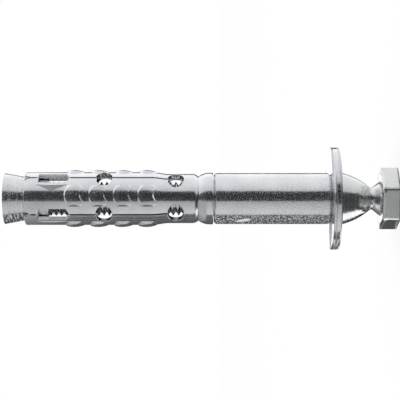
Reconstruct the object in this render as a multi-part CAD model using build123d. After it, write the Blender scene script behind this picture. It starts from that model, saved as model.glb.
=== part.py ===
from build123d import *
from math import atan2, degrees, hypot, radians, sin, tan
import os

# Steel sleeve anchor with a break-off hex head, for a 14 mm drilled hole. It stands on the hex head,
# with the origin in the middle of the head's end and +Z along the bolt towards the cone nut.

# Bolt diameters and thread
shank_diameter = 8.0
thread_diameter = 7.95
thread_length = 46.0
thread_end_chamfer = 0.7
thread_end_recess = 1.0

# Hex drive head, which breaks off at the neck when the anchor is tight
hex_width = 13.0
hex_height = 4.0
hex_turn = 41.0
hex_corner_round = 0.8
hex_end_round = 0.2
hex_groove_width = 2.2
hex_groove_depth = 0.5

# Back cone, neck and conical head
back_cone_radius = 4.15
back_cone_length = 1.95
neck_radius = 2.6
neck_length = 0.5
cone_head_radius = 6.25
cone_head_length = 7.5
cone_head_bulge = 0.56

# Washer
washer_diameter = 24.0
washer_thickness = 1.85
washer_play = 0.2
washer_edge = 0.25

# Spacer tube
spacer_length = 27.35
spacer_wall = 1.7
spacer_play = 0.3
spacer_end_play = 0.12
spacer_edge = 0.5

# Expansion sleeve, rolled from one wall thickness
sleeve_length = 44.0
sleeve_wall = 1.1
body_play = 0.68
leaf_spread = 0.42
tip_round = 0.3
collar_rise = 0.3
collar_land = 0.9
collar_round = 0.25
groove_depth = 0.58
groove_collar_flank = 2.6
groove_body_flank = 1.4
swell_length = 4.0
swell_gap = 1.6

# Slots between the leaves, from the leaf tips back, with the rear hole set from the groove
leaf_count = 4
slit_width = 0.35
mouth_width = 2.0
mouth_length = 1.8
window_gap = 3.3
window_length = 6.5
window_width = 3.0
window_point = 0.8
hole_length = 3.8
hole_width = 4.8
hole_gap = 6.1
rear_hole_gap = 1.95
rim_round = 0.12

# Leaf edge left straight at one side of each window, raised above the rolled wall
straight_turn = 9.5
straight_width = 1.5
straight_length = 7.0
straight_rise = 0.18
straight_bevel = 0.45

# Nibs that grip the wall of the drilled hole
nib_count = 4
nib_gap = 9.4
nib_pitch = 5.65
nib_length = 3.85
nib_width = 4.6
nib_height = 0.5
nib_root = 0.75
nib_bow = 2.4
nib_end_slope = 45.0
nib_side_slope = 25.0

# Cone nut, tapered where it spreads the leaves
nut_length = 10.5
nut_wall = 0.72
nut_end_inset = 0.2
nut_half_angle = 10.8
nut_edge = 0.2
thread_clearance = 0.05

# Gap between pieces that rest on each other
seat_clearance = 0.03

# Radii that follow from the bolt outwards
shank_radius = shank_diameter / 2
thread_radius = thread_diameter / 2
washer_bore = shank_radius + washer_play
spacer_bore = shank_radius + spacer_play
spacer_radius = spacer_bore + spacer_wall
body_bore = shank_radius + body_play
body_radius = body_bore + sleeve_wall
leaf_bore = body_bore + leaf_spread
leaf_radius = body_radius + leaf_spread
collar_radius = body_radius + collar_rise
groove_radius = body_radius - groove_depth
nib_radius = leaf_radius + nib_height
nut_bore = thread_radius + thread_clearance
nut_shank_radius = nut_bore + nut_wall
nut_end_radius = leaf_radius - nut_end_inset
nut_seat_radius = leaf_bore - seat_clearance

# Heights, stacked from the drive head to the cone nut
neck_start = hex_height + back_cone_length
neck_end = neck_start + neck_length
washer_start = neck_end + cone_head_length
spacer_start = washer_start + washer_thickness + seat_clearance
spacer_end = spacer_start + spacer_length
sleeve_start = spacer_end + spacer_end_play
sleeve_tip = sleeve_start + sleeve_length
nut_end = sleeve_tip + (nut_end_radius - nut_seat_radius) / tan(radians(nut_half_angle))
nut_start = nut_end - nut_length
bolt_end = nut_end - thread_end_recess
thread_start = bolt_end - thread_length

# Stations along the sleeve, and the turn from one leaf to the next
leaf_angle = 360 / leaf_count
groove_root = sleeve_start + collar_land + groove_collar_flank
groove_end = groove_root + groove_body_flank
window_end = sleeve_tip - window_gap
window_start = window_end - window_length
front_hole = window_start - window_point - hole_gap - hole_length / 2
rear_hole = groove_end + rear_hole_gap + hole_length / 2
swell_start = rear_hole + swell_gap
swell_end = swell_start + swell_length


# Solid turned about the bolt axis from a closed outline of radius and height
def turned(outline):
    return revolve(make_face(Plane.XZ * outline), Axis.Z)


# Outline moved to the wall that faces +X, with the width along Y and the height along Z
def wall_plane(radius):
    return Plane(origin=(radius, 0, 0), x_dir=(0, 1, 0), z_dir=(1, 0, 0))


# Hex head with rounded corners and end, and the dish of the groove round the back cone
def drive_head():
    outline = RegularPolygon(hex_width / 2, 6, major_radius=False, rotation=hex_turn)
    prism = extrude(fillet(outline.vertices(), hex_corner_round), hex_height)
    end_edges = prism.faces().sort_by(Axis.Z)[0].edges()
    prism = fillet(end_edges, hex_end_round)
    root_radius = back_cone_radius - hex_groove_width / 2
    dish = Polyline(
        (0, hex_height - hex_groove_depth),
        (root_radius, hex_height - hex_groove_depth),
        (root_radius + hex_groove_width, hex_height),
        (root_radius + hex_groove_width, hex_height + hex_groove_depth),
        (0, hex_height + hex_groove_depth),
        close=True,
    )
    return prism - turned(dish)


# Back cone, shear neck, conical head, shank and thread as one turned form
def turned_bolt():
    root_radius = back_cone_radius - hex_groove_width / 2
    root_height = hex_height - hex_groove_depth
    lower = Polyline(
        (0, root_height / 2),
        (root_radius, root_height / 2),
        (root_radius, root_height),
        (back_cone_radius, hex_height),
        (neck_radius, neck_start),
        (neck_radius, neck_end),
    )
    head = SagittaArc((neck_radius, neck_end), (cone_head_radius, washer_start), -cone_head_bulge)
    upper = Polyline(
        (cone_head_radius, washer_start),
        (shank_radius, washer_start),
        (shank_radius, thread_start),
        (thread_radius, thread_start),
        (thread_radius, bolt_end - thread_end_chamfer),
        (thread_radius - thread_end_chamfer, bolt_end),
        (0, bolt_end),
        (0, root_height / 2),
    )
    return turned(lower + head + upper)


def shear_bolt():
    return drive_head() + turned_bolt()


def washer():
    ring = Cylinder(washer_diameter / 2, washer_thickness) - Cylinder(washer_bore, washer_thickness)
    rims = ring.edges().filter_by(GeomType.CIRCLE).sort_by(SortBy.RADIUS)[-2:]
    return Pos(0, 0, washer_start + washer_thickness / 2) * fillet(rims, washer_edge)


# Plain tube, bevelled outside at both ends
def spacer_sleeve():
    outline = Polyline(
        (spacer_bore, spacer_start),
        (spacer_radius - spacer_edge, spacer_start),
        (spacer_radius, spacer_start + spacer_edge),
        (spacer_radius, spacer_end - spacer_edge),
        (spacer_radius - spacer_edge, spacer_end),
        (spacer_bore, spacer_end),
        close=True,
    )
    return turned(outline)


# S-shaped swelling between two radii along the sleeve
def swelling(low_radius, high_radius):
    ends = ((low_radius, swell_start), (high_radius, swell_end))
    return Spline(ends, tangents=((0, 1), (0, 1)))


# Rolled wall: collar, sharp groove, rear body, swelling and straight leaves with rounded tips
def sleeve_blank():
    outside = [
        Line((body_bore, sleeve_start), (collar_radius - collar_round, sleeve_start)),
        TangentArc(
            (collar_radius - collar_round, sleeve_start),
            (collar_radius, sleeve_start + collar_round),
            tangent=(1, 0),
        ),
        Line((collar_radius, sleeve_start + collar_round), (collar_radius, sleeve_start + collar_land)),
        TangentArc(
            (collar_radius, sleeve_start + collar_land),
            (groove_radius, groove_root),
            tangent=(0, 1),
        ),
        TangentArc(
            (groove_radius, groove_root),
            (body_radius, groove_end),
            tangent=(0, -1),
            tangent_from_first=False,
        ),
        Line((body_radius, groove_end), (body_radius, swell_start)),
        swelling(body_radius, leaf_radius),
        Line((leaf_radius, swell_end), (leaf_radius, sleeve_tip - tip_round)),
        TangentArc(
            (leaf_radius, sleeve_tip - tip_round),
            (leaf_radius - tip_round, sleeve_tip),
            tangent=(0, 1),
        ),
    ]
    inside = [
        Polyline((leaf_radius - tip_round, sleeve_tip), (leaf_bore, sleeve_tip), (leaf_bore, swell_end)),
        swelling(body_bore, leaf_bore),
        Line((body_bore, swell_start), (body_bore, sleeve_start)),
    ]
    return turned(Curve() + outside + inside)


# Opening of one slot: V mouth, slit, pointed window, slit and two oval holes
def slot_cut():
    mouth = Polyline(
        (-mouth_width / 2, sleeve_tip),
        (-mouth_width / 2, sleeve_tip + mouth_length),
        (mouth_width / 2, sleeve_tip + mouth_length),
        (mouth_width / 2, sleeve_tip),
        (0, sleeve_tip - mouth_length),
        close=True,
    )
    window = Polyline(
        (-window_width / 2, window_end),
        (window_width / 2, window_end),
        (window_width / 2, window_start),
        (0, window_start - window_point),
        (-window_width / 2, window_start),
        close=True,
    )
    slit_length = sleeve_tip + mouth_length - rear_hole
    outline = (
        make_face(mouth)
        + make_face(window)
        + Pos(0, rear_hole + slit_length / 2) * Rectangle(slit_width, slit_length)
        + Pos(0, front_hole) * Ellipse(hole_width / 2, hole_length / 2)
        + Pos(0, rear_hole) * Ellipse(hole_width / 2, hole_length / 2)
    )
    return extrude(wall_plane(0) * outline, collar_radius + nib_radius)


# Straight edge on the leaf that faces +X, crowned along its length
def straight_edge():
    buried = leaf_radius - sleeve_wall / 2
    section = Polyline(
        (buried, 0),
        (leaf_radius, 0),
        (leaf_radius, straight_width),
        (leaf_radius - straight_bevel, straight_width + straight_bevel),
        (buried, straight_width + straight_bevel),
        close=True,
    )
    block = extrude(make_face(section), straight_length / 2, both=True)
    crown_radius = (straight_length / 2) ** 2 / (2 * straight_rise)
    crown = Pos(leaf_radius - crown_radius, 0, 0) * Rot(90, 0, 0) * Cylinder(crown_radius, 2 * leaf_radius)
    return Rot(0, 0, straight_turn) * Pos(0, 0, window_start + window_length / 2) * (block & crown)


# One raised nib, bowed towards the leaf tip, sloped all round and domed, on the wall that faces +X
def nib(front):
    depth = nib_root + 2 * nib_height
    root_spread = nib_root * tan(radians(nib_end_slope))
    top_spread = 2 * nib_height * tan(radians(nib_end_slope))
    outer_bow = Cone(nib_bow + root_spread, nib_bow - top_spread, depth)
    inner_bow = Cone(nib_bow - root_spread, nib_bow + top_spread, depth)
    root = wall_plane(leaf_radius - nib_root)
    root_width = nib_width + 2 * nib_root * tan(radians(nib_side_slope))
    band = extrude(root * Pos(0, front) * Rectangle(root_width, 4 * nib_bow), depth, taper=nib_side_slope)
    block = band & root * Pos(0, front - nib_bow, depth / 2) * outer_bow
    block -= root * Pos(0, front - nib_length - nib_bow, depth / 2) * inner_bow
    return block & Pos(0, 0, front - nib_length / 2) * Sphere(nib_radius)


# Edges of the slots on the outside of the sleeve, short of the rounded leaf tips
def slot_rims(sleeve):
    rims = ShapeList()
    for edge in sleeve.edges():
        middle = edge @ 0.5
        turn = radians(degrees(atan2(middle.Y, middle.X)) % leaf_angle - leaf_angle / 2)
        radius = hypot(middle.X, middle.Y)
        on_slot = radius * abs(sin(turn)) < hole_width / 2 + rim_round
        on_outside = radius > body_radius - rim_round
        if on_slot and on_outside and groove_end < middle.Z < sleeve_tip - tip_round:
            rims.append(edge)
    return rims


def expansion_sleeve():
    slots = [Rot(0, 0, (i + 0.5) * leaf_angle) * slot_cut() for i in range(leaf_count)]
    sleeve = sleeve_blank()
    for slot in slots:
        sleeve -= slot
    sleeve = fillet(slot_rims(sleeve), rim_round)
    reliefs = [nib(sleeve_tip - nib_gap - i * nib_pitch) - slots for i in range(nib_count)]
    reliefs.append(straight_edge())
    for i in range(leaf_count):
        sleeve += [Rot(0, 0, i * leaf_angle) * relief for relief in reliefs]
    return sleeve


# Threaded nut with a straight shank under the leaves and a taper that seats on their tips
def cone_nut():
    taper_start = nut_end - (nut_end_radius - nut_shank_radius) / tan(radians(nut_half_angle))
    outline = Polyline(
        (nut_bore, nut_start),
        (nut_shank_radius, nut_start),
        (nut_shank_radius, taper_start),
        (nut_end_radius, nut_end),
        (nut_bore + nut_edge, nut_end),
        (nut_bore, nut_end - nut_edge),
        close=True,
    )
    return turned(outline)


pieces = {
    "shear_bolt": shear_bolt(),
    "washer": washer(),
    "spacer_sleeve": spacer_sleeve(),
    "expansion_sleeve": expansion_sleeve(),
    "cone_nut": cone_nut(),
}

os.makedirs("parts", exist_ok=True)
for name, piece in pieces.items():
    export_step(piece, f"parts/{name}.step")
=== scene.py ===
import bpy
import math
from mathutils import Matrix, Vector


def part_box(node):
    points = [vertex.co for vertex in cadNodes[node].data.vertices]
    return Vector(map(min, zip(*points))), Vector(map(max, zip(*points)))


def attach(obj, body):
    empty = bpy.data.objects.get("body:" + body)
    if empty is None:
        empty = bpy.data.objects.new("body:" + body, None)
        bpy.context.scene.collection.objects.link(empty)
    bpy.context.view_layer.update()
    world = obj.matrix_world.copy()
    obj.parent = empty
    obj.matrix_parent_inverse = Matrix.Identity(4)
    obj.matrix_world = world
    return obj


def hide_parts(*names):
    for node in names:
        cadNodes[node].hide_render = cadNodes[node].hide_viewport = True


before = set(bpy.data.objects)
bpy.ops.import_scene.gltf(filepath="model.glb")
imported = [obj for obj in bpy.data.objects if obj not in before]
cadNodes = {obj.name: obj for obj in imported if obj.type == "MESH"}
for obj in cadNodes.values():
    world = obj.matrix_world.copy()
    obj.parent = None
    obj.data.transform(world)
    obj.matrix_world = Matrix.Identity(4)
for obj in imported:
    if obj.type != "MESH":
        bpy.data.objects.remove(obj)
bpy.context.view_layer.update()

scene = bpy.context.scene
scene.view_settings.view_transform = "Standard"
mm = 0.001
mergeDistance = 0.001 * mm
roundSides = 96  # sides of a round piece made from a primitive


def makeActive(piece):
    bpy.ops.object.select_all(action="DESELECT")
    piece.select_set(True)
    bpy.context.view_layer.objects.active = piece


# Opens a piece for editing with everything selected, nothing, or what was selected before (None)
def editMode(piece, selectMode="VERT", selected="SELECT"):
    makeActive(piece)
    bpy.ops.object.mode_set(mode="EDIT")
    bpy.ops.mesh.select_mode(type=selectMode)
    if selected:
        bpy.ops.mesh.select_all(action=selected)


def objectMode():
    bpy.ops.object.mode_set(mode="OBJECT")


def applyModifiers(piece):
    makeActive(piece)
    for modifier in list(piece.modifiers):
        bpy.ops.object.modifier_apply(modifier=modifier.name)


def applyPlace(piece):
    makeActive(piece)
    bpy.ops.object.transform_apply(location=True, rotation=True, scale=True)


def nameActive(name):
    piece = bpy.context.active_object
    piece.name = name
    piece.data.name = name
    return piece


def copyOfNode(node, name):
    piece = cadNodes[node].copy()
    piece.data = cadNodes[node].data.copy()
    scene.collection.objects.link(piece)
    piece.name = name
    piece.data.name = name
    piece.parent = None
    editMode(piece)
    bpy.ops.mesh.remove_doubles(threshold=mergeDistance)
    objectMode()
    return piece


def wear(piece, material):
    if not piece.data.materials:
        piece.data.materials.append(material)
    for slot in piece.material_slots:
        slot.material = material


# Camera: level with the middle of the anchor and rolled, so that the bolt lies along the picture
cameraPlace = {
    "distance": 324.5 * mm,
    "azimuth": -7.0,  # degrees round the bolt
    "height": 46.4 * mm,
    "drop": 0.334 * mm,
    "lens": 124.1,
    "sensorWidth": 36,
    "seenFrom": 0.01,
    "seenTo": 20,
}


def placeCamera():
    turn = math.radians(cameraPlace["azimuth"])
    towards = Vector((math.sin(turn), -math.cos(turn), 0))
    up = Vector((math.cos(turn), math.sin(turn), 0))
    right = Vector((0, 0, -1))
    spot = towards * cameraPlace["distance"] - up * cameraPlace["drop"]
    spot.z = cameraPlace["height"]
    bpy.ops.object.camera_add(location=spot)
    camera = bpy.context.active_object
    camera.name = "photoCamera"
    axes = Matrix((right, up, towards)).transposed()
    camera.matrix_world = Matrix.Translation(spot) @ axes.to_4x4()
    camera.data.lens = cameraPlace["lens"]
    camera.data.sensor_width = cameraPlace["sensorWidth"]
    camera.data.clip_start = cameraPlace["seenFrom"]
    camera.data.clip_end = cameraPlace["seenTo"]
    scene.camera = camera


placeCamera()
print("camera placed")


# Helpers for materials: most add one node and give back what comes out of it
def newNode(tree, kind, **settings):
    node = tree.nodes.new(kind)
    for setting, value in settings.items():
        setattr(node, setting, value)
    return node


def emptyTree(owner):
    owner.use_nodes = True
    owner.node_tree.nodes.clear()
    return owner.node_tree


# Gives inputs, in their order, what another node puts out or a plain value
def feed(tree, entries, sources):
    for entry, source in zip(entries, sources):
        if isinstance(source, bpy.types.NodeSocket):
            tree.links.new(source, entry)
        else:
            entry.default_value = source


def objectPlace(tree):
    return newNode(tree, "ShaderNodeTexCoord").outputs["Object"]


def mathOf(tree, operation, *sources, **settings):
    node = newNode(tree, "ShaderNodeMath", operation=operation, **settings)
    feed(tree, node.inputs, sources)
    return node.outputs["Value"]


def vectorOf(tree, operation, *sources):
    node = newNode(tree, "ShaderNodeVectorMath", operation=operation)
    feed(tree, node.inputs, sources)
    return node.outputs["Value" if operation in ("LENGTH", "DOT_PRODUCT") else "Vector"]


def flattened(tree, place):
    return vectorOf(tree, "MULTIPLY", place, (1, 1, 0))


def partsOf(tree, vector):
    node = newNode(tree, "ShaderNodeSeparateXYZ")
    tree.links.new(vector, node.inputs["Vector"])
    return node.outputs


def stretched(tree, place, stretch):
    node = newNode(tree, "ShaderNodeMapping")
    feed(tree, (node.inputs["Vector"], node.inputs["Scale"]), (place, stretch))
    return node.outputs["Vector"]


# Goes through the results while the value goes through the reach
def rangeOf(tree, value, reach, results=(0, 1)):
    node = newNode(tree, "ShaderNodeMapRange")
    names = ("Value", "From Min", "From Max", "To Min", "To Max")
    feed(tree, [node.inputs[name] for name in names], (value, *reach, *results))
    return node.outputs["Result"]


def noiseOf(tree, place, size, detail):
    node = newNode(tree, "ShaderNodeTexNoise")
    names = ("Vector", "Scale", "Detail")
    feed(tree, [node.inputs[name] for name in names], (place, 1 / size, detail))
    return node.outputs["Fac"]


def mixedColor(tree, share, first, second, **settings):
    node = newNode(tree, "ShaderNodeMix", data_type="RGBA", **settings)
    feed(tree, [node.inputs[name] for name in ("Factor", "A", "B")], (share, first, second))
    return node.outputs["Result"]


def mixedShader(tree, share, first, second):
    node = newNode(tree, "ShaderNodeMixShader")
    feed(tree, node.inputs, (share, first, second))
    return node.outputs["Shader"]


def glowOf(tree, color):
    node = newNode(tree, "ShaderNodeEmission")
    feed(tree, (node.inputs["Color"],), (color,))
    return node.outputs["Emission"]


def showShader(tree, shader, kind="ShaderNodeOutputMaterial"):
    tree.links.new(shader, newNode(tree, kind).inputs["Surface"])


# Studio: white surroundings, a pale floor, one soft lamp, and a light tent, a low ring and two flat
# lids round the hex head that only reflections see
studio = {
    "tentRadius": 300 * mm,
    "tentHeight": 700 * mm,
    "tentTurn": 97.0,  # degrees, turns the tones to the camera's side
    "floorRadius": 3.0,
    "floorSides": 128,
    "floorGap": 0.1 * mm,
    "floorColor": (0.93, 0.93, 0.93, 1),
    "floorWhite": 0.85,
    "white": (1, 1, 1, 1),
    "worldLevel": 1.0,
    "lampSize": 0.7,
    "lampHeight": 1.2,
    "lampPower": 1.4,
    "lowTent": (100 * mm, 140 * mm),  # heights where the tent's lower tones turn to the upper ones
    "headFloor": (8.8 * mm, 9.2 * mm),  # radii where the painted shade under the head, seen in reflections, turns to the floor's tones
    "headShadeTone": (0.12, 0.12, 0.12, 1),
    "nearFloor": (50 * mm, 90 * mm),  # radii where the floor's tones turn to the tent's
    "ringRadius": 9 * mm,
    "ringHeight": 3.9 * mm,
    "lidRadius": 7.4 * mm,
    "lidGap": 0.05 * mm,
    "tentTint": (0.985, 0.99, 1.0),
    # brightness by the angle round the bolt, from the camera's side
    "tentTones": [
        (-180, 1.35), (-173, 1.35), (-171, 0.05), (-158, 0.05), (-150, 0.16), (-142, 0.04),
        (-134, 0.20), (-126, 0.05), (-118, 0.24), (-110, 0.05), (-102, 0.26), (-95, 0.05),
        (-88, 0.24), (-82, 0.05), (-79, 0.08), (-77, 0.66), (-64, 0.72), (-30, 0.56),
        (-12, 0.46), (-11, 0.04), (33, 0.04), (34, 0.62), (44, 0.74), (70, 0.88), (108, 1.00),
        (125, 1.14), (144, 1.25), (148, 0.08), (171, 0.05), (173, 1.35), (180, 1.35),
    ],
    "upperTones": [
        (-180, 0.25), (-155, 0.25), (-125, 0.30), (-90, 0.50), (-60, 0.45), (-30, 0.45),
        (-12, 0.46), (-11, 0.06), (33, 0.06), (34, 0.62), (44, 0.74), (70, 0.88), (108, 1.00),
        (144, 1.20), (160, 0.60), (180, 0.60),
    ],
    "floorTones": [
        (-180, 1.35), (-173, 1.35), (-171, 0.03), (-118, 0.03), (-113, 1.30), (-72, 1.30),
        (-68, 0.50), (-62, 0.06), (26, 0.05), (30, 0.60), (60, 0.80), (110, 0.95),
        (144, 1.20), (148, 0.08), (171, 0.05), (173, 1.35), (180, 1.35),
    ],
    "ringTones": [
        (-180, 0.10), (-86, 0.09), (-82, 0.05), (-54, 0.05), (-50, 0.60), (-46, 1.20),
        (-40, 1.20), (-37, 0.36), (6, 0.36), (8, 0.04), (17, 0.04), (19, 0.42), (32, 0.42),
        (36, 0.82), (70, 0.86), (110, 0.90), (180, 0.90),
    ],
}


# The angle round the bolt as 0 to 1
def angleRoundBolt(tree, place):
    turned = newNode(tree, "ShaderNodeMapping")
    turned.inputs["Rotation"].default_value = (0, 0, math.radians(studio["tentTurn"]))
    tree.links.new(place, turned.inputs["Vector"])
    parts = partsOf(tree, turned.outputs["Vector"])
    return rangeOf(tree, mathOf(tree, "ARCTAN2", parts["Y"], parts["X"]), (-math.pi, math.pi))


def tonesByAngle(tree, angle, tones):
    ramp = newNode(tree, "ShaderNodeValToRGB")
    points = ramp.color_ramp.elements
    first, *between, last = [
        ((turn + 180) / 360, (*(tone * share for share in studio["tentTint"]), 1)) for turn, tone in tones
    ]
    points[0].color = first[1]
    points[1].color = last[1]
    for position, color in between:
        points.new(position).color = color
    tree.links.new(angle, ramp.inputs["Fac"])
    return ramp.outputs["Color"]


def changingTone(tree, value, reach, first, second):
    return mixedColor(tree, rangeOf(tree, value, reach), first, second)


def cardMaterial(name, tones, upperTones=None):
    material = bpy.data.materials.new(name)
    tree = emptyTree(material)
    place = objectPlace(tree)
    angle = angleRoundBolt(tree, place)
    tone = tonesByAngle(tree, angle, tones)
    if upperTones:
        height = partsOf(tree, place)["Z"]
        upper = tonesByAngle(tree, angle, upperTones)
        tone = changingTone(tree, height, studio["lowTent"], tone, upper)
    showShader(tree, glowOf(tree, tone))
    return material


def onlyReflected(card):
    card.visible_camera = False
    card.visible_diffuse = False
    card.visible_shadow = False
    card.visible_transmission = False
    card.visible_volume_scatter = False


def makeTent():
    bpy.ops.mesh.primitive_cylinder_add(
        vertices=roundSides, radius=studio["tentRadius"], depth=studio["tentHeight"],
        location=(0, 0, studio["tentHeight"] / 2),
    )
    tent = nameActive("lightTent")
    applyPlace(tent)
    editMode(tent, "FACE", "DESELECT")
    objectMode()
    for face in tent.data.polygons:
        face.select = face.center.z < studio["floorGap"]  # the tent stands open on the floor
    editMode(tent, "FACE", None)
    bpy.ops.mesh.delete(type="FACE")
    objectMode()
    wear(tent, cardMaterial("lightTent", studio["tentTones"], studio["upperTones"]))
    onlyReflected(tent)


# Low ring that gives each side of the hex head its own even tone
def makeRing():
    bpy.ops.mesh.primitive_cylinder_add(
        vertices=roundSides, radius=studio["ringRadius"], depth=studio["ringHeight"],
        end_fill_type="NOTHING", location=(0, 0, studio["ringHeight"] / 2),
    )
    ring = nameActive("headRing")
    applyPlace(ring)
    wear(ring, cardMaterial("headRing", studio["ringTones"]))
    onlyReflected(ring)


# Flat lid on the ring: one with the ring's tones for the hex sides, and one with the floor's tones
# just above it, so that the conical head does not reflect the ring
def makeLid(name, height, tones):
    bpy.ops.mesh.primitive_circle_add(
        vertices=roundSides, radius=studio["lidRadius"], fill_type="NOTHING", location=(0, 0, height),
    )
    lid = nameActive(name)
    applyPlace(lid)
    editMode(lid, "EDGE")
    bpy.ops.mesh.extrude_region_move()
    wider = studio["ringRadius"] / studio["lidRadius"]
    bpy.ops.transform.resize(value=(wider, wider, 1))
    objectMode()
    wear(lid, cardMaterial(name, tones))
    onlyReflected(lid)


# The floor is matt, whitened where the camera sees it, and has its own tones in reflections, with painted
# shade under the head
def floorMaterial():
    material = bpy.data.materials.new("paleFloor")
    tree = emptyTree(material)
    place = objectPlace(tree)
    angle = angleRoundBolt(tree, place)
    near = tonesByAngle(tree, angle, studio["floorTones"])
    far = tonesByAngle(tree, angle, studio["tentTones"])
    radius = vectorOf(tree, "LENGTH", place)
    # painted shade: the floor under the head is reflected as a dark tone
    around = changingTone(tree, radius, studio["headFloor"], studio["headShadeTone"], near)
    reflected = changingTone(tree, radius, studio["nearFloor"], around, far)
    light = newNode(tree, "ShaderNodeLightPath").outputs
    matt = newNode(tree, "ShaderNodeBsdfDiffuse")
    matt.inputs["Color"].default_value = studio["floorColor"]
    seen = mathOf(tree, "MAXIMUM", light["Is Camera Ray"], light["Is Transmission Ray"])
    whitened = mathOf(tree, "MULTIPLY", seen, studio["floorWhite"])
    paler = mixedShader(tree, whitened, matt.outputs["BSDF"], glowOf(tree, studio["white"]))
    showShader(tree, mixedShader(tree, light["Is Glossy Ray"], paler, glowOf(tree, reflected)))
    return material


def makeFloor():
    bpy.ops.mesh.primitive_circle_add(
        vertices=studio["floorSides"], radius=studio["floorRadius"], fill_type="NGON",
        location=(0, 0, -studio["floorGap"]),
    )
    floor = nameActive("paleFloor")
    applyPlace(floor)
    wear(floor, floorMaterial())


def backgroundOf(tree, level):
    node = newNode(tree, "ShaderNodeBackground")
    feed(tree, (node.inputs["Color"], node.inputs["Strength"]), (studio["white"], level))
    return node.outputs["Background"]


# The world lights at its own level and is seen and reflected as plain white
def makeWorld():
    world = bpy.data.worlds.new("whiteStudio")
    scene.world = world
    tree = emptyTree(world)
    light = newNode(tree, "ShaderNodeLightPath").outputs
    seen = mathOf(tree, "MAXIMUM", light["Is Camera Ray"], light["Is Glossy Ray"])
    seen = mathOf(tree, "MAXIMUM", seen, light["Is Transmission Ray"])
    lighting = backgroundOf(tree, studio["worldLevel"])
    showShader(tree, mixedShader(tree, seen, lighting, backgroundOf(tree, 1)), "ShaderNodeOutputWorld")


def placeLamp():
    bpy.ops.object.light_add(type="AREA", location=(0, 0, studio["lampHeight"]))
    lamp = bpy.context.active_object
    lamp.name = "softLamp"
    lamp.data.size = studio["lampSize"]
    lamp.data.energy = studio["lampPower"]


makeWorld()
makeFloor()
makeTent()
makeRing()
makeLid("lowerLid", studio["ringHeight"], studio["ringTones"])
makeLid("upperLid", studio["ringHeight"] + studio["lidGap"], studio["floorTones"])
placeLamp()
print("studio ready")


# What the zinc finish has in common on all pieces: how finely each noise is divided, and the part
# of it that counts, where noise runs from 0 to 1
zincNoise = {
    "cloudDetail": 4,
    "cloudReach": (0.35, 0.65),
    "speckDetail": 3,
    "speckReach": (0.3, 0.7),
    "grainDetail": 2,
    "lineDetail": 2,
    "lineReach": (0.5, 0.6),
    "coarseDetail": 1,
}


# Where the noise of the lines is read: drawn out along the lines, or the same all the way round
def linePlace(tree, place, look):
    if look["lines"] == "straight":
        return stretched(tree, place, look["lineStretch"])
    rings = newNode(tree, "ShaderNodeCombineXYZ")
    radius = vectorOf(tree, "LENGTH", flattened(tree, place))
    height = partsOf(tree, place)["Z"]
    feed(tree, (rings.inputs["X"], rings.inputs["Z"]), (radius, height))
    broken = vectorOf(tree, "MULTIPLY", place, (look["lineBreak"],) * 3)
    return vectorOf(tree, "ADD", rings.outputs["Vector"], broken)


def bumpOf(tree, height, depth, normal=None, strength=1):
    node = newNode(tree, "ShaderNodeBump")
    names = ("Height", "Distance", "Strength")
    feed(tree, [node.inputs[name] for name in names], (height, depth, strength))
    if normal:
        tree.links.new(normal, node.inputs["Normal"])
    return node.outputs["Normal"]


# Zinc finish: bright plated metal with cloudy tint, fine speckle and the lines left by making it
def zincFinish(name, look):
    material = bpy.data.materials.new(name)
    tree = emptyTree(material)
    place = objectPlace(tree)
    shader = newNode(tree, "ShaderNodeBsdfPrincipled")
    shader.inputs["Metallic"].default_value = 1
    showShader(tree, shader.outputs["BSDF"])

    clouds = noiseOf(tree, place, look["cloudSize"], zincNoise["cloudDetail"])
    tint = newNode(tree, "ShaderNodeValToRGB")
    dark, light = tint.color_ramp.elements
    dark.position, light.position = zincNoise["cloudReach"]
    dark.color, light.color = look["darkTint"], look["lightTint"]
    tree.links.new(clouds, tint.inputs["Fac"])
    tree.links.new(tint.outputs["Color"], shader.inputs["Base Color"])

    specks = noiseOf(tree, place, look["speckSize"], zincNoise["speckDetail"])
    grains = noiseOf(tree, place, look["grainSize"], zincNoise["grainDetail"])
    lines = noiseOf(tree, linePlace(tree, place, look), look["lineSize"], zincNoise["lineDetail"])
    gloss = rangeOf(tree, specks, zincNoise["speckReach"], look["roughness"])
    matt = rangeOf(tree, grains, look["grainReach"], (0, look["grainRoughness"]))
    mattLines = rangeOf(tree, lines, zincNoise["lineReach"], (0, look["lineRoughness"]))
    rougher = mathOf(tree, "ADD", gloss, matt)
    tree.links.new(mathOf(tree, "ADD", rougher, mattLines), shader.inputs["Roughness"])

    speckBump = bumpOf(tree, specks, look["speckDepth"])
    lineBump = bumpOf(tree, lines, look["lineDepth"], speckBump)
    tree.links.new(lineBump, shader.inputs["Normal"])
    return material


# Turns the finish from metal to matt where the mask is 1
def mattWhere(material, mask, mattShare):
    tree = material.node_tree
    metallic = tree.nodes["Principled BSDF"].inputs["Metallic"]
    before = metallic.links[0].from_socket if metallic.links else 1
    metal = rangeOf(tree, mask, (0, 1), (1, 1 - mattShare))
    tree.links.new(mathOf(tree, "MINIMUM", before, metal), metallic)


# One side of the round pieces has a coarser skin, and painted shade there: darker and lighter grains in
# its colour, on the side that faces the tent's dark lower tones
coarseShadedSide = {
    "direction": (-0.9925, 0.1219, 0),
    "reach": (0.64, 0.70),  # how squarely the skin faces that way: smooth below, coarse above
}


# Mask of that side, outside the given radius
def coarseShadedSideMask(tree, fromRadius):
    flat = flattened(tree, objectPlace(tree))
    outward = vectorOf(tree, "NORMALIZE", flat)
    facing = vectorOf(tree, "DOT_PRODUCT", outward, coarseShadedSide["direction"])
    outside = mathOf(tree, "GREATER_THAN", vectorOf(tree, "LENGTH", flat), fromRadius)
    return mathOf(tree, "MULTIPLY", rangeOf(tree, facing, coarseShadedSide["reach"]), outside)
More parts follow.
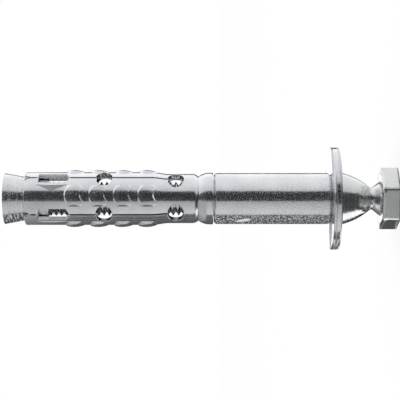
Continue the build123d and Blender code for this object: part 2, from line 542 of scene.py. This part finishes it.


# Adds the coarse skin where the mask is 1: bumps and chalky specks, with darker and lighter grains
# painted into the colour as shade
def coarseShadedWhere(material, mask, look):
    tree = material.node_tree
    entries = tree.nodes["Principled BSDF"].inputs
    normal, color = (entries[name].links[0].from_socket for name in ("Normal", "Base Color"))
    place = stretched(tree, objectPlace(tree), look["coarseStretch"])
    grains = noiseOf(tree, place, look["coarseSize"], zincNoise["coarseDetail"])
    tree.links.new(bumpOf(tree, grains, look["coarseDepth"], normal, mask), entries["Normal"])
    # painted shade: the grains darken and lighten the colour on this side
    tones = rangeOf(tree, grains, look["shadeSpeckReach"], look["shadeSpeckTones"])
    shadeSpeckled = mixedColor(tree, mask, color, tones, blend_type="MULTIPLY")
    tree.links.new(shadeSpeckled, entries["Base Color"])
    chalky = mathOf(tree, "MULTIPLY", rangeOf(tree, grains, look["chalkReach"]), mask)
    mattWhere(material, chalky, look["chalkShare"])


def coarseShadedZinc(name, look):
    material = zincFinish(name, look)
    coarseShadedWhere(material, coarseShadedSideMask(material.node_tree, look["coarseFrom"]), look)
    return material


# Bolt: the plain solid with its thread zone cut off and a real right-handed thread put in its place
boltLook = {
    "threadStart": 45.175 * mm,
    "boltEnd": 91.175 * mm,
    "endChamfer": 0.7 * mm,
    "pitch": 1.25 * mm,
    "rootRadius": 3.24 * mm,
    "crestRadius": 3.975 * mm,
    "crestFlat": 0.156 * mm,
    "flankSlope": math.tan(math.radians(30)),
    "overlap": 0.6 * mm,  # how far thread and shank reach into each other before they are joined
    "leadTurns": 1.5,  # turns made below the overlap and cut off again
    "spareTurns": 3,
    "endSpare": 0.3 * mm,
    "cutterMargin": 0.15 * mm,
    "steps": 48,
    "smoothAngle": 28,
    "lightTint": (0.82, 0.82, 0.81, 1),
    "darkTint": (0.74, 0.75, 0.76, 1),
    "cloudSize": 5 * mm,
    "grainSize": 0.2 * mm,
    "grainReach": (0.56, 0.66),
    "grainRoughness": 0.2,
    "speckSize": 0.3 * mm,
    "speckDepth": 0.003 * mm,
    "roughness": (0.11, 0.18),
    "lines": "around",
    "lineSize": 0.35 * mm,
    "lineBreak": 0.03,
    "lineDepth": 0.006 * mm,
    "lineRoughness": 0.12,
}


# Profile given as radius and height, screwed up the bolt for the given number of turns
def helixOf(profile, name, startHeight, turns):
    bpy.ops.mesh.primitive_plane_add(size=mm, location=(0, 0, 0))
    ridge = nameActive(name)
    editMode(ridge)
    bpy.ops.mesh.merge(type="CENTER")
    bpy.ops.transform.translate(value=(profile[0][0], 0, startHeight + profile[0][1]))
    for here, there in zip(profile, profile[1:]):
        step = (there[0] - here[0], 0, there[1] - here[1])
        bpy.ops.mesh.extrude_region_move(TRANSFORM_OT_translate={"value": step})
    objectMode()
    screw = ridge.modifiers.new("screw", "SCREW")
    screw.axis = "Z"
    screw.angle = math.radians(360)
    screw.screw_offset = boltLook["pitch"]
    screw.iterations = turns
    screw.steps = boltLook["steps"]
    screw.render_steps = boltLook["steps"]
    screw.use_smooth_shade = True
    applyModifiers(ridge)
    editMode(ridge)
    bpy.ops.mesh.remove_doubles(threshold=mergeDistance)
    bpy.ops.mesh.normals_make_consistent(inside=False)
    objectMode()
    return ridge


def cutLevel(piece, height, clearAbove):
    editMode(piece)
    bpy.ops.mesh.bisect(
        plane_co=(0, 0, height), plane_no=(0, 0, 1), use_fill=True,
        clear_outer=clearAbove, clear_inner=not clearAbove,
    )
    objectMode()


def booleanWith(piece, other, operation):
    tool = piece.modifiers.new(operation, "BOOLEAN")
    tool.operation = operation
    tool.solver = "EXACT"
    tool.object = other
    applyModifiers(piece)
    bpy.data.objects.remove(other)


def smoothByAngle(piece, angle):
    makeActive(piece)
    bpy.ops.object.shade_smooth_by_angle(angle=math.radians(angle))
    weighted = piece.modifiers.new("weighted", "WEIGHTED_NORMAL")
    weighted.keep_sharp = True
    applyModifiers(piece)


def threadProfile():
    look = boltLook
    flank = (look["crestRadius"] - look["rootRadius"]) * look["flankSlope"]
    rootHalf = (look["pitch"] - look["crestFlat"]) / 2 - flank
    return [
        (look["rootRadius"], 0),
        (look["rootRadius"], rootHalf),
        (look["crestRadius"], rootHalf + flank),
        (look["crestRadius"], look["pitch"] - rootHalf - flank),
        (look["rootRadius"], look["pitch"] - rootHalf),
        (look["rootRadius"], look["pitch"]),
    ]


# Height at which every helix of the thread begins, so that bolt and nut keep the same phase
def helixStart():
    return boltLook["threadStart"] - boltLook["overlap"] - boltLook["leadTurns"] * boltLook["pitch"]


# Round bar that trims the thread to its length, with the chamfer at the bolt's end
def endCutter():
    look = boltLook
    bottom = look["threadStart"] - 2 * look["overlap"]
    depth = look["boltEnd"] - bottom
    bpy.ops.mesh.primitive_cylinder_add(
        vertices=roundSides, radius=look["crestRadius"] + look["cutterMargin"], depth=depth,
        location=(0, 0, look["boltEnd"] - depth / 2),
    )
    cutter = nameActive("endCutter")
    applyPlace(cutter)
    editMode(cutter, "EDGE", "DESELECT")
    objectMode()
    for edge in cutter.data.edges:
        heights = [cutter.data.vertices[corner].co.z for corner in edge.vertices]
        edge.select = min(heights) > look["boltEnd"] - look["endChamfer"]
    editMode(cutter, "EDGE", None)
    bpy.ops.mesh.bevel(offset=look["endChamfer"] + look["cutterMargin"], segments=1, affect="EDGES")
    objectMode()
    return cutter


def makeBolt():
    look = boltLook
    bolt = copyOfNode("shear_bolt", "threadedBolt")
    cutLevel(bolt, look["threadStart"], clearAbove=True)
    bottom = look["threadStart"] - look["overlap"]
    turns = math.ceil((look["boltEnd"] - bottom) / look["pitch"]) + look["spareTurns"]
    thread = helixOf(threadProfile(), "boltThread", helixStart(), turns)
    cutLevel(thread, bottom, clearAbove=False)
    cutLevel(thread, look["boltEnd"] + look["endSpare"], clearAbove=True)
    booleanWith(thread, endCutter(), "INTERSECT")
    booleanWith(bolt, thread, "UNION")
    smoothByAngle(bolt, look["smoothAngle"])
    wear(bolt, zincFinish("boltZinc", look))
    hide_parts("shear_bolt")
    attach(bolt, "bolt")


makeBolt()
print("bolt made")


# Cone nut: the solid with a turned finish, and its inner thread as a ridge in the bolt's grooves
nutLook = {
    "baseRadius": 4.08 * mm,
    "tipRadius": 3.42 * mm,
    "tipFlat": 0.36 * mm,
    "endGap": 0.35 * mm,
    "endSides": 6,  # open ends with up to this many sides are closed
    "smoothAngle": 28,
    "lightTint": (0.82, 0.83, 0.84, 1),
    "darkTint": (0.72, 0.74, 0.76, 1),
    "cloudSize": 4 * mm,
    "grainSize": 0.25 * mm,
    "grainReach": (0.53, 0.63),
    "grainRoughness": 0.4,
    "speckSize": 0.3 * mm,
    "speckDepth": 0.003 * mm,
    "roughness": (0.11, 0.18),
    "lines": "around",
    "lineSize": 0.36 * mm,
    "lineBreak": 0.02,
    "lineDepth": 0.03 * mm,
    "lineRoughness": 0.14,
    "coarseFrom": 4.5 * mm,
    "coarseStretch": (0.15, 0.15, 1),
    "coarseSize": 0.32 * mm,
    "coarseDepth": 0.03 * mm,
    "shadeSpeckReach": (0.40, 0.54),
    "shadeSpeckTones": (0.6, 1.1),
    "chalkReach": (0.51, 0.61),
    "chalkShare": 0.45,
}


def makeNutThread(material):
    look = nutLook
    pitch = boltLook["pitch"]
    half = look["tipFlat"] / 2
    flank = (look["baseRadius"] - look["tipRadius"]) * boltLook["flankSlope"]
    profile = [
        (look["baseRadius"], -half - flank), (look["tipRadius"], -half), (look["tipRadius"], half),
        (look["baseRadius"], half + flank), (look["baseRadius"], -half - flank),
    ]
    bottom = helixStart()
    nutStart, nutEnd = (corner.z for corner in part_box("cone_nut"))
    firstTurn = math.ceil((nutStart + look["endGap"] + half + flank - bottom) / pitch)
    startHeight = bottom + firstTurn * pitch
    room = nutEnd - look["endGap"] - half - flank - startHeight
    thread = helixOf(profile, "nutThread", startHeight, int(room / pitch))
    editMode(thread, "EDGE", "DESELECT")
    bpy.ops.mesh.select_non_manifold()
    bpy.ops.mesh.fill_holes(sides=look["endSides"])
    bpy.ops.mesh.select_all(action="SELECT")
    bpy.ops.mesh.normals_make_consistent(inside=False)
    objectMode()
    smoothByAngle(thread, look["smoothAngle"])
    wear(thread, material)
    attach(thread, "cone")


def finishNut():
    material = coarseShadedZinc("nutZinc", nutLook)
    wear(cadNodes["cone_nut"], material)
    makeNutThread(material)


finishNut()
print("cone nut finished")


# Expansion sleeve: rolled strip, finely grained
sleeveLook = {
    "lightTint": (0.82, 0.83, 0.85, 1),
    "darkTint": (0.73, 0.745, 0.78, 1),
    "cloudSize": 4 * mm,
    "grainSize": 0.26 * mm,
    "grainReach": (0.56, 0.66),
    "grainRoughness": 0.22,
    "speckSize": 0.28 * mm,
    "speckDepth": 0.003 * mm,
    "roughness": (0.1, 0.17),
    "lines": "straight",
    "lineSize": 0.3 * mm,
    "lineStretch": (1, 1, 0.1),
    "lineDepth": 0.003 * mm,
    "lineRoughness": 0.06,
    "cutReach": (0.25, 0.45),  # from a face that stands square to the wall to one that slopes
    "windowMiddle": 80.6 * mm,
    "windowReach": 4.0 * mm,
    "cutMattShare": 0.7,
}


# Mask of the faces that stand square to the wall where the windows are
def windowSideMask(tree):
    look = sleeveLook
    coordinates = newNode(tree, "ShaderNodeTexCoord").outputs
    outward = vectorOf(tree, "NORMALIZE", flattened(tree, coordinates["Object"]))
    facing = vectorOf(tree, "DOT_PRODUCT", outward, coordinates["Normal"])
    square = rangeOf(tree, mathOf(tree, "ABSOLUTE", facing), look["cutReach"], (1, 0))
    height = partsOf(tree, coordinates["Object"])["Z"]
    level = mathOf(tree, "COMPARE", height, look["windowMiddle"], look["windowReach"])
    return mathOf(tree, "MULTIPLY", square, level)


def finishSleeve():
    material = zincFinish("sleeveZinc", sleeveLook)
    mattWhere(material, windowSideMask(material.node_tree), sleeveLook["cutMattShare"])
    wear(cadNodes["expansion_sleeve"], material)


finishSleeve()
print("sleeve finished")


# Spacer: drawn tube with faint streaks along it
spacerLook = {
    "lightTint": (0.82, 0.83, 0.845, 1),
    "darkTint": (0.74, 0.745, 0.78, 1),
    "cloudSize": 6 * mm,
    "grainSize": 0.26 * mm,
    "grainReach": (0.53, 0.61),
    "grainRoughness": 0.32,
    "speckSize": 0.35 * mm,
    "speckDepth": 0.003 * mm,
    "roughness": (0.08, 0.14),
    "lines": "straight",
    "lineSize": 0.3 * mm,
    "lineStretch": (1, 1, 0.03),
    "lineDepth": 0.003 * mm,
    "lineRoughness": 0.05,
    "coarseFrom": 5 * mm,
    "coarseStretch": (1, 1, 1),
    "coarseSize": 0.38 * mm,
    "coarseDepth": 0.04 * mm,
    "shadeSpeckReach": (0.40, 0.54),
    "shadeSpeckTones": (0.65, 1.1),
    "chalkReach": (0.53, 0.61),
    "chalkShare": 0.5,
    "wallRadius": 6 * mm,
    # painted highlight: a bright streak on the wall, given by its two ends
    "highlightStart": (38.6 * mm, -162.0),  # height and angle round the bolt
    "highlightEnd": (34.2 * mm, -149.0),
    "highlightHalfWidth": 0.6 * mm,
    "highlightEdge": (0.6, 1),  # shares of its half length and half width through which it fades
    "highlightMattShare": 0.95,
}


def wallPoint(height, angle):
    turn = math.radians(angle)
    radius = spacerLook["wallRadius"]
    return Vector((radius * math.cos(turn), radius * math.sin(turn), height))


# Mask of one painted highlight: a bright matt streak on the tube's wall
def paintedHighlightMask(tree):
    look = spacerLook
    start, end = wallPoint(*look["highlightStart"]), wallPoint(*look["highlightEnd"])
    middle = (start + end) / 2
    along = (end - start).normalized()
    across = along.cross(Vector((middle.x, middle.y, 0)).normalized())
    halfLength = (end - start).length / 2
    fromMiddle = vectorOf(tree, "SUBTRACT", objectPlace(tree), middle)
    both = newNode(tree, "ShaderNodeCombineXYZ")
    for axis, half, side in ((along, halfLength, "X"), (across, look["highlightHalfWidth"], "Y")):
        tree.links.new(vectorOf(tree, "DOT_PRODUCT", fromMiddle, axis / half), both.inputs[side])
    away = vectorOf(tree, "LENGTH", both.outputs["Vector"])
    return rangeOf(tree, away, look["highlightEdge"], (1, 0))


# The painted highlight streak cuts through the coarse skin and its painted shade
def finishSpacer():
    look = spacerLook
    material = zincFinish("spacerZinc", look)
    tree = material.node_tree
    highlightStreak = paintedHighlightMask(tree)
    side = coarseShadedSideMask(tree, look["coarseFrom"])
    coarseShadedWhere(material, mathOf(tree, "SUBTRACT", side, highlightStreak, use_clamp=True), look)
    # painted highlight: the streak turns matt and so shows bright against the metal
    mattWhere(material, highlightStreak, look["highlightMattShare"])
    wear(cadNodes["spacer_sleeve"], material)


finishSpacer()
print("spacer finished")


# Washer: stamped disc, striped along its rim
washerLook = {
    "lightTint": (0.81, 0.82, 0.84, 1),
    "darkTint": (0.72, 0.73, 0.77, 1),
    "cloudSize": 6 * mm,
    "grainSize": 0.25 * mm,
    "grainReach": (0.54, 0.64),
    "grainRoughness": 0.35,
    "speckSize": 0.35 * mm,
    "speckDepth": 0.004 * mm,
    "roughness": (0.1, 0.16),
    "lines": "straight",
    "lineSize": 0.56 * mm,
    "lineStretch": (0.05, 0.05, 1),
    "lineDepth": 0.02 * mm,
    "lineRoughness": 0.35,
    "coarseFrom": 11.7 * mm,  # the rim only, so that the flat faces stay clean
    "coarseStretch": (0.12, 0.12, 1),
    "coarseSize": 0.5 * mm,
    "coarseDepth": 0.03 * mm,
    "shadeSpeckReach": (0.38, 0.52),
    "shadeSpeckTones": (0.6, 1.1),
    "chalkReach": (0.50, 0.60),
    "chalkShare": 0.5,
}

wear(cadNodes["washer"], coarseShadedZinc("washerZinc", washerLook))
print("washer finished")
